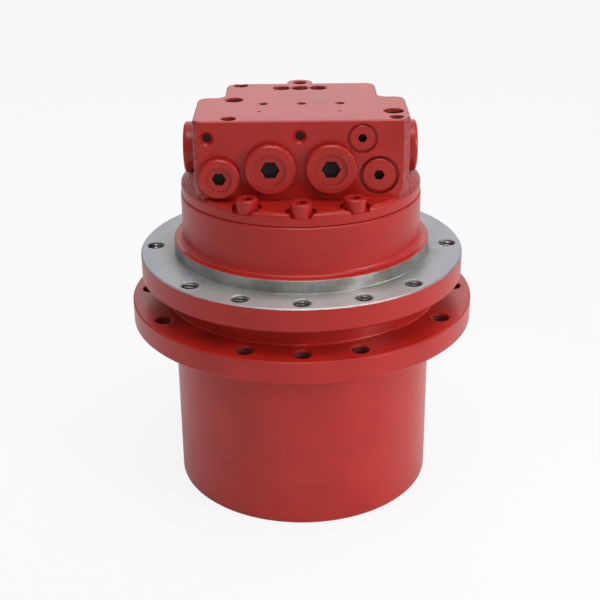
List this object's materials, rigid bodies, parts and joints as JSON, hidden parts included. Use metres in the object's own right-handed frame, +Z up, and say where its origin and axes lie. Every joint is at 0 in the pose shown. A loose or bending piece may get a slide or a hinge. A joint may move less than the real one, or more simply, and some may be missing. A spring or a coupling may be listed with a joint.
{
  "type": "excavator final drive",
  "caption": "Track final drive: a flanged hub turning on a fixed spindle with a frame flange, a valve block with plugs and ports on top, planetary gears and a piston motor inside.",
  "frame": {"origin": "centre of the hub's lower rim, on the drive axis", "axes": "+Z up along the drive axis towards the valve block, -Y towards the face with the plugs"},
  "size_m": [0.27, 0.27, 0.31],
  "materials": {
    "red_casting": "satin red paint over machined and cast iron",
    "red_fittings": "red paint over zinc plated steel",
    "gear_steel": "hardened and ground, oiled",
    "bearing_steel": "ground and polished",
    "motor_steel": "nitrided, lapped where it runs",
    "spring_steel": "dark, shot peened",
    "bronze": "turned bronze",
    "brass_cage": "machined brass",
    "sintered_bronze": "sintered friction lining",
    "black_rubber": "smooth moulded"
  },
  "bodies": {
    "casing": {"spindle_casing": "red_casting", "main_bearing_inner_rings": "bearing_steel", "bearing_nut": "gear_steel", "spindle_seal_ring": "bearing_steel", "spindle_seal_cord": "black_rubber", "second_planet_pins": "gear_steel", "second_planet_bushes": "bronze", "oil_seal": "black_rubber", "shaft_bearing_outer_rings": "bearing_steel", "cradle_seats": "bronze", "valve_plate": "bronze", "separator_plates": "motor_steel", "disc_spring": "spring_steel", "valve_block": "red_casting", "block_screws": "red_fittings", "headed_plugs": "red_fittings", "sunk_plugs": "red_fittings", "spool_caps": "red_casting", "spool_springs": "spring_steel", "valve_springs": "spring_steel"},
    "hub": {"hub": "red_casting", "end_cover": "red_casting", "cover_plugs": "red_fittings", "cover_ring": "spring_steel", "cover_seal": "black_rubber", "thrust_pad": "gear_steel", "main_bearing_outer_rings": "bearing_steel", "hub_seal_ring": "bearing_steel", "hub_seal_cord": "black_rubber"},
    "main_bearing_balls": {"main_bearing_balls": "bearing_steel", "main_bearing_cages": "brass_cage"},
    "motor_shaft": {"motor_shaft": "motor_steel", "sun_pinion": "gear_steel", "cylinder_barrel": "motor_steel", "barrel_spring": "spring_steel", "ball_guide": "motor_steel", "friction_discs": "sintered_bronze", "shaft_bearing_inner_rings": "bearing_steel", "pistons": "motor_steel"},
    "shaft_rollers": {"shaft_bearing_rollers": "bearing_steel"},
    "first_carrier": {"first_carrier": "gear_steel", "second_sun": "gear_steel", "first_planet_pins": "gear_steel", "first_planet_bushes": "bronze"},
    "swash_plate": {"swash_plate": "motor_steel"},
    "slipper_ring": {"slippers": "bronze", "retainer_plate": "motor_steel"},
    "control_piston": {"control_piston": "motor_steel"},
    "brake_piston": {"brake_piston": "motor_steel"},
    "counterbalance_spool": {"counterbalance_spool": "motor_steel"},
    "left_check_poppet": {"left_check_poppet": "motor_steel"},
    "right_check_poppet": {"right_check_poppet": "motor_steel"},
    "speed_spool": {"speed_spool": "motor_steel"},
    "first_planet_1": {"first_planet_1": "gear_steel"},
    "first_planet_2": {"first_planet_2": "gear_steel"},
    "first_planet_3": {"first_planet_3": "gear_steel"},
    "second_planet_1": {"second_planet_1": "gear_steel"},
    "second_planet_2": {"second_planet_2": "gear_steel"},
    "second_planet_3": {"second_planet_3": "gear_steel"}
  },
  "joints": [
    {"name": "hub_spin", "type": "hinge", "parent": "casing", "child": "hub", "pos_m": [0, 0, 0.07], "axis": [0, 0, 1], "continuous": true},
    {"name": "main_bearing_roll", "type": "hinge", "parent": "casing", "child": "main_bearing_balls", "pos_m": [0, 0, 0.13], "axis": [0, 0, 1], "continuous": true},
    {"name": "shaft_spin", "type": "hinge", "parent": "casing", "child": "motor_shaft", "pos_m": [0, 0, 0.18], "axis": [0, 0, 1], "continuous": true, "deforming": ["pistons"]},
    {"name": "shaft_bearing_roll", "type": "hinge", "parent": "casing", "child": "shaft_rollers", "pos_m": [0, 0, 0.108], "axis": [0, 0, 1], "continuous": true},
    {"name": "first_carrier_spin", "type": "hinge", "parent": "casing", "child": "first_carrier", "pos_m": [0, 0, 0.047], "axis": [0, 0, 1], "continuous": true},
    {"name": "first_planet_1_spin", "type": "hinge", "parent": "first_carrier", "child": "first_planet_1", "pos_m": [0, -0.048, 0.031], "axis": [0, 0, 1], "continuous": true},
    {"name": "first_planet_2_spin", "type": "hinge", "parent": "first_carrier", "child": "first_planet_2", "pos_m": [0.04157, 0.024, 0.031], "axis": [0, 0, 1], "continuous": true},
    {"name": "first_planet_3_spin", "type": "hinge", "parent": "first_carrier", "child": "first_planet_3", "pos_m": [-0.04157, 0.024, 0.031], "axis": [0, 0, 1], "continuous": true},
    {"name": "second_planet_1_spin", "type": "hinge", "parent": "casing", "child": "second_planet_1", "pos_m": [0, 0.051, 0.075], "axis": [0, 0, 1], "continuous": true},
    {"name": "second_planet_2_spin", "type": "hinge", "parent": "casing", "child": "second_planet_2", "pos_m": [-0.04417, -0.0255, 0.075], "axis": [0, 0, 1], "continuous": true},
    {"name": "second_planet_3_spin", "type": "hinge", "parent": "casing", "child": "second_planet_3", "pos_m": [0.04417, -0.0255, 0.075], "axis": [0, 0, 1], "continuous": true},
    {"name": "swash_tilt", "type": "hinge", "parent": "casing", "child": "swash_plate", "pos_m": [0, 0, 0.146], "axis": [1, 0, 0], "range_deg": [-7, 0], "stiffness_Nm_per_rad": 20, "springref_deg": 2.86, "deforming": ["pistons"]},
    {"name": "slipper_spin", "type": "hinge", "parent": "swash_plate", "child": "slipper_ring", "pos_m": [0, 0, 0.146], "axis": [0, -0.2588, 0.9659], "continuous": true},
    {"name": "control_piston_slide", "type": "slide", "parent": "casing", "child": "control_piston", "axis": [0, 0, 1], "range_m": [0, 0.0062]},
    {"name": "brake_release", "type": "slide", "parent": "casing", "child": "brake_piston", "axis": [0, 0, 1], "range_m": [0, 0.002], "stiffness_N_per_m": 20000, "springref_m": -0.001, "deforming": ["disc_spring"]},
    {"name": "spool_shift", "type": "slide", "parent": "casing", "child": "counterbalance_spool", "axis": [1, 0, 0], "range_m": [-0.005, 0.005], "stiffness_N_per_m": 4000, "deforming": ["spool_springs"]},
    {"name": "left_check_lift", "type": "slide", "parent": "casing", "child": "left_check_poppet", "axis": [0, -1, 0], "range_m": [0, 0.003], "stiffness_N_per_m": 400, "springref_m": -0.003, "deforming": ["valve_springs"]},
    {"name": "right_check_lift", "type": "slide", "parent": "casing", "child": "right_check_poppet", "axis": [0, -1, 0], "range_m": [0, 0.003], "stiffness_N_per_m": 400, "springref_m": -0.003, "deforming": ["valve_springs"]},
    {"name": "speed_shift", "type": "slide", "parent": "casing", "child": "speed_spool", "axis": [0, 1, 0], "range_m": [0, 0.004], "stiffness_N_per_m": 400, "springref_m": -0.003, "deforming": ["valve_springs"]}
  ],
  "couplings": [
    {"joint": "main_bearing_roll", "follows": "hub_spin", "ratio": 0.53341},
    {"joint": "shaft_spin", "follows": "hub_spin", "ratio": -44.333},
    {"joint": "shaft_bearing_roll", "follows": "hub_spin", "ratio": -18.31},
    {"joint": "first_carrier_spin", "follows": "hub_spin", "ratio": -4.6667},
    {"joint": "first_planet_1_spin", "follows": "hub_spin", "ratio": 13.222},
    {"joint": "first_planet_2_spin", "follows": "hub_spin", "ratio": 13.222},
    {"joint": "first_planet_3_spin", "follows": "hub_spin", "ratio": 13.222},
    {"joint": "second_planet_1_spin", "follows": "hub_spin", "ratio": 2.5455},
    {"joint": "second_planet_2_spin", "follows": "hub_spin", "ratio": 2.5455},
    {"joint": "second_planet_3_spin", "follows": "hub_spin", "ratio": 2.5455},
    {"joint": "slipper_spin", "follows": "hub_spin", "ratio": -44.333},
    {"joint": "control_piston_slide", "follows": "swash_tilt", "m_per_rad": -0.05027}
  ]
}
